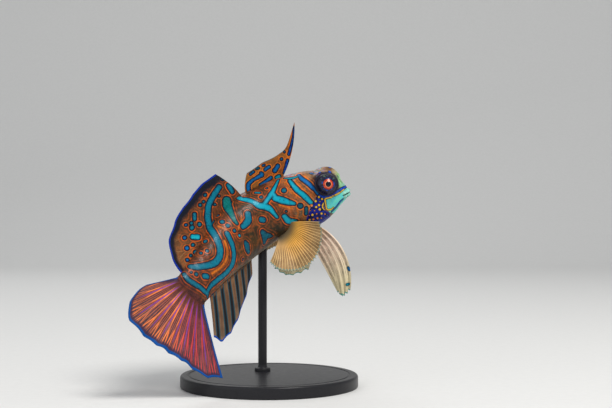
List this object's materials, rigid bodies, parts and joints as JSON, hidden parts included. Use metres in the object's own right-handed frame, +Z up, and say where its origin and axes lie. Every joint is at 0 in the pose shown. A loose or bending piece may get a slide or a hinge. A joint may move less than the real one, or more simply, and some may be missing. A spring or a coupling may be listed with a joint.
{
  "type": "mandarinfish model on a display stand",
  "caption": "Still life-size model of a mandarinfish with spread fins and a curved body, held over a round base by one rod.",
  "frame": {"origin": "centre of the flat underside of the stand's base", "axes": "+Z up, +X towards the fish's head, and the fish's right flank faces -Y"},
  "size_m": [0.0527, 0.0501, 0.0651],
  "materials": {
    "skin": "wet skin in olive and orange with turquoise bands",
    "fin": "thin orange membrane over raised rays, with a blue edge",
    "eye": "clear wet dome over a red iris and a dark pupil",
    "stand": "satin black"
  },
  "bodies": {
    "root": {"head": "skin", "torso_front": "skin", "torso_rear": "skin", "tail_peduncle": "skin", "eye_right": "eye", "eye_left": "eye", "first_dorsal_fin": "fin", "second_dorsal_fin": "fin", "anal_fin": "fin", "caudal_fin": "fin", "pectoral_fin_right": "fin", "pectoral_fin_left": "fin", "pelvic_fin_right": "fin", "pelvic_fin_left": "fin", "stand_base": "stand", "stand_rod": "stand"}
  },
  "joints": []
}
